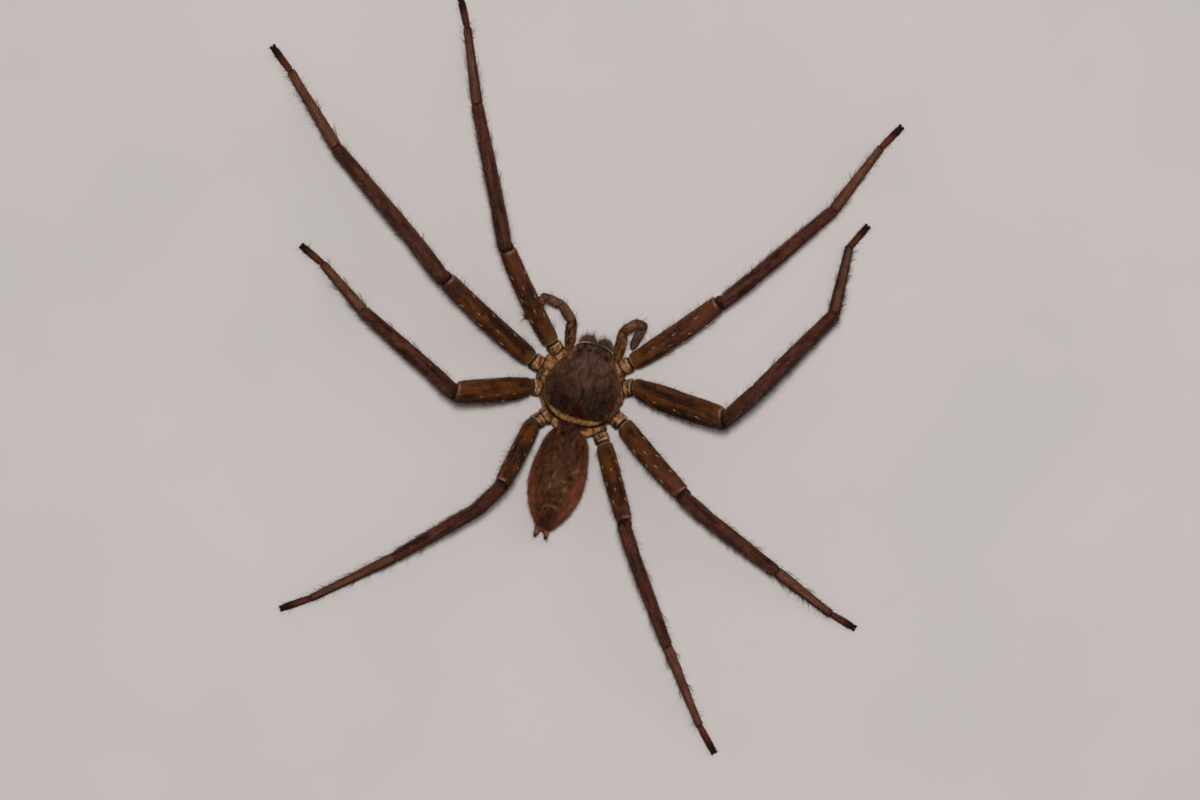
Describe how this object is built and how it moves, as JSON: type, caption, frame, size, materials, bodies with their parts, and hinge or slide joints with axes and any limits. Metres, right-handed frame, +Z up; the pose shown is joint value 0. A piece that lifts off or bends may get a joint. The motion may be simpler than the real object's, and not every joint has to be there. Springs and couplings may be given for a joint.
{
  "type": "huntsman spider",
  "caption": "Still, life-size model of a flat-bodied brown huntsman spider standing on its spread, jointed legs, with a round back shield and a long oval abdomen.",
  "frame": {"origin": "on the floor, under the middle of the whole spider's bounding box", "axes": "+Z up from the floor; +X to the right and +Y away from a viewer who looks straight down with the spider's head away from them; the head points 16.5 degrees to the right of +Y"},
  "size_m": [0.0762, 0.0908, 0.0128],
  "materials": {
    "dark_furred_shell": "matt, under short fur",
    "olive_brown_leg": "satin, under short fur",
    "red_brown_leg": "satin, under short fur",
    "rusty_foot": "matt, under short fur",
    "russet_abdomen": "matt, under short fur",
    "tan_shell": "satin",
    "eye_black": "polished, wet looking",
    "fang_black": "glossy"
  },
  "bodies": {
    "root": {"abdomen": "russet_abdomen", "carapace": "dark_furred_shell", "chelicera_l": "dark_furred_shell", "chelicera_r": "dark_furred_shell", "eye_anterior_lateral_l": "eye_black", "eye_anterior_lateral_r": "eye_black", "eye_anterior_median_l": "eye_black", "eye_anterior_median_r": "eye_black", "eye_posterior_lateral_l": "eye_black", "eye_posterior_lateral_r": "eye_black", "eye_posterior_median_l": "eye_black", "eye_posterior_median_r": "eye_black", "fang_l": "fang_black", "fang_r": "fang_black", "leg_l1_femur": "olive_brown_leg", "leg_l1_metatarsus": "red_brown_leg", "leg_l1_patella": "red_brown_leg", "leg_l1_tarsus": "rusty_foot", "leg_l1_tibia": "red_brown_leg", "leg_l2_femur": "olive_brown_leg", "leg_l2_metatarsus": "red_brown_leg", "leg_l2_patella": "red_brown_leg", "leg_l2_tarsus": "rusty_foot", "leg_l2_tibia": "red_brown_leg", "leg_l3_femur": "olive_brown_leg", "leg_l3_metatarsus": "red_brown_leg", "leg_l3_patella": "red_brown_leg", "leg_l3_tarsus": "rusty_foot", "leg_l3_tibia": "red_brown_leg", "leg_l4_femur": "olive_brown_leg", "leg_l4_metatarsus": "red_brown_leg", "leg_l4_patella": "red_brown_leg", "leg_l4_tarsus": "rusty_foot", "leg_l4_tibia": "red_brown_leg", "leg_r1_femur": "olive_brown_leg", "leg_r1_metatarsus": "red_brown_leg", "leg_r1_patella": "red_brown_leg", "leg_r1_tarsus": "rusty_foot", "leg_r1_tibia": "red_brown_leg", "leg_r2_femur": "olive_brown_leg", "leg_r2_metatarsus": "red_brown_leg", "leg_r2_patella": "red_brown_leg", "leg_r2_tarsus": "rusty_foot", "leg_r2_tibia": "red_brown_leg", "leg_r3_femur": "olive_brown_leg", "leg_r3_metatarsus": "red_brown_leg", "leg_r3_patella": "red_brown_leg", "leg_r3_tarsus": "rusty_foot", "leg_r3_tibia": "red_brown_leg", "leg_r4_femur": "olive_brown_leg", "leg_r4_metatarsus": "red_brown_leg", "leg_r4_patella": "red_brown_leg", "leg_r4_tarsus": "rusty_foot", "leg_r4_tibia": "red_brown_leg", "palp_l": "olive_brown_leg", "palp_r": "olive_brown_leg", "palp_tarsus_l": "olive_brown_leg", "palp_tarsus_r": "olive_brown_leg", "spinnerets": "dark_furred_shell", "sternum": "tan_shell"}
  },
  "joints": []
}
